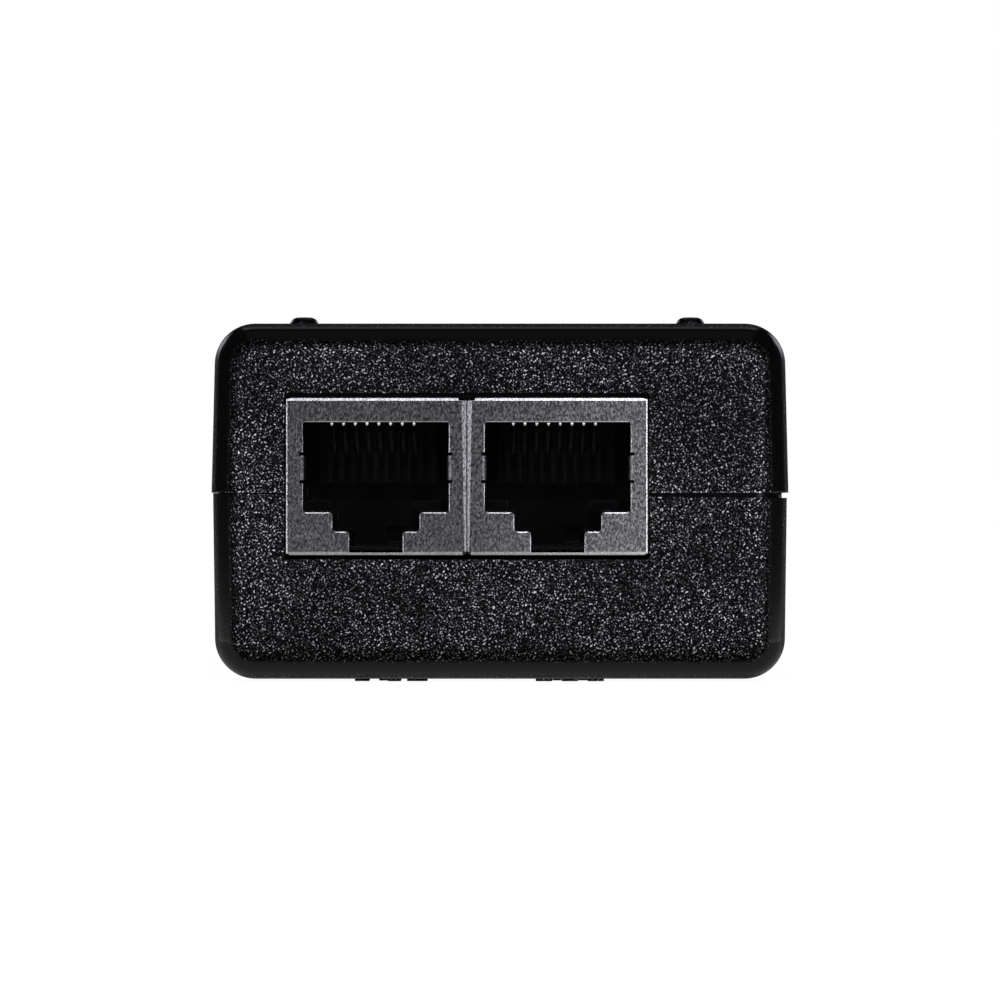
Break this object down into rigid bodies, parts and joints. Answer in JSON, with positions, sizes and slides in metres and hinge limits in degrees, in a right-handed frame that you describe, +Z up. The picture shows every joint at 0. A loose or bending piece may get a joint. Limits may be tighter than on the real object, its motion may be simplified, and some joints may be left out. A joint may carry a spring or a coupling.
{
  "type": "poe injector",
  "caption": "Power-over-ethernet injector: two-shell plastic case with twin shielded modular jacks at one end and an earthed mains inlet at the other.",
  "frame": {"origin": "centre of the plane that the raised marks on the lid lie on, under the middle of the case", "axes": "+Z up as the object lies in the picture, which is on its lid with its four feet up; -Y out of the face with the two jacks, +Y out of the mains inlet, +X to the right when the jacks are looked at"},
  "size_m": [0.05, 0.0886, 0.0318],
  "materials": {
    "case_plastic": "glossy black injection moulding with a coarse spark-eroded grain",
    "jack_plastic": "black glass-filled insert, satin gloss",
    "shield_metal": "plated sheet, brushed, bright cut edges",
    "contact_gold": "gold-flashed spring wire",
    "label_film": "blank printed film, satin",
    "insulation_film": "matte sheet",
    "inlet_plastic": "black, satin",
    "pin_metal": "nickel plated",
    "board_laminate": "green solder resist",
    "ferrite": "dark grey, sintered",
    "component_plastic": "black moulding compound",
    "winding_tape": "yellow polyester tape",
    "heatsink_metal": "bare sheet",
    "screw_steel": "zinc plated",
    "copper_wire": "enamelled copper",
    "capacitor_sleeve": "shrink sleeve",
    "film_box": "yellow box",
    "blue_coat": "blue dipped coat",
    "led_epoxy": "green tinted",
    "light_lens": "clear light pipe"
  },
  "bodies": {
    "case": {"base_shell": "case_plastic", "lid_shell": "case_plastic", "rating_label": "label_film", "insulation_sheet": "insulation_film", "inlet_housing": "inlet_plastic", "inlet_pin_line": "pin_metal", "inlet_pin_neutral": "pin_metal", "inlet_pin_earth": "pin_metal", "main_board": "board_laminate", "transformer_core_front": "ferrite", "transformer_core_rear": "ferrite", "transformer_bobbin": "component_plastic", "transformer_winding": "winding_tape", "primary_heatsink": "heatsink_metal", "secondary_heatsink": "heatsink_metal", "switching_transistor": "component_plastic", "output_rectifier": "component_plastic", "transistor_screw": "screw_steel", "rectifier_screw": "screw_steel", "choke_core": "ferrite", "choke_winding_line": "copper_wire", "choke_winding_neutral": "copper_wire", "bulk_capacitor": "capacitor_sleeve", "output_capacitor_1": "capacitor_sleeve", "output_capacitor_2": "capacitor_sleeve", "x_capacitor": "film_box", "y_capacitor": "blue_coat", "varistor": "blue_coat", "fuse": "component_plastic", "bridge_rectifier": "component_plastic", "optocoupler": "component_plastic", "controller_chip": "component_plastic", "output_choke": "copper_wire", "network_transformer": "component_plastic", "status_led": "led_epoxy", "light_pipe": "light_lens", "port_a_shield": "shield_metal", "port_a_housing": "jack_plastic", "port_a_contact_carrier": "jack_plastic", "port_b_shield": "shield_metal", "port_b_housing": "jack_plastic", "port_b_contact_carrier": "jack_plastic"},
    "port_a_contacts": {"port_a_contact_1": "contact_gold", "port_a_contact_2": "contact_gold", "port_a_contact_3": "contact_gold", "port_a_contact_4": "contact_gold", "port_a_contact_5": "contact_gold", "port_a_contact_6": "contact_gold", "port_a_contact_7": "contact_gold", "port_a_contact_8": "contact_gold"},
    "port_b_contacts": {"port_b_contact_1": "contact_gold", "port_b_contact_2": "contact_gold", "port_b_contact_3": "contact_gold", "port_b_contact_4": "contact_gold", "port_b_contact_5": "contact_gold", "port_b_contact_6": "contact_gold", "port_b_contact_7": "contact_gold", "port_b_contact_8": "contact_gold"}
  },
  "joints": [
    {"name": "port_a_contact_spring", "type": "hinge", "parent": "case", "child": "port_a_contacts", "pos_m": [-0.0107, -0.043, 0.0227], "axis": [1, 0, 0], "range_deg": [0, 12], "stiffness_Nm_per_rad": 0.3, "springref_deg": -2.86},
    {"name": "port_b_contact_spring", "type": "hinge", "parent": "case", "child": "port_b_contacts", "pos_m": [0.00498, -0.043, 0.0227], "axis": [1, 0, 0], "range_deg": [0, 12], "stiffness_Nm_per_rad": 0.3, "springref_deg": -2.86}
  ]
}
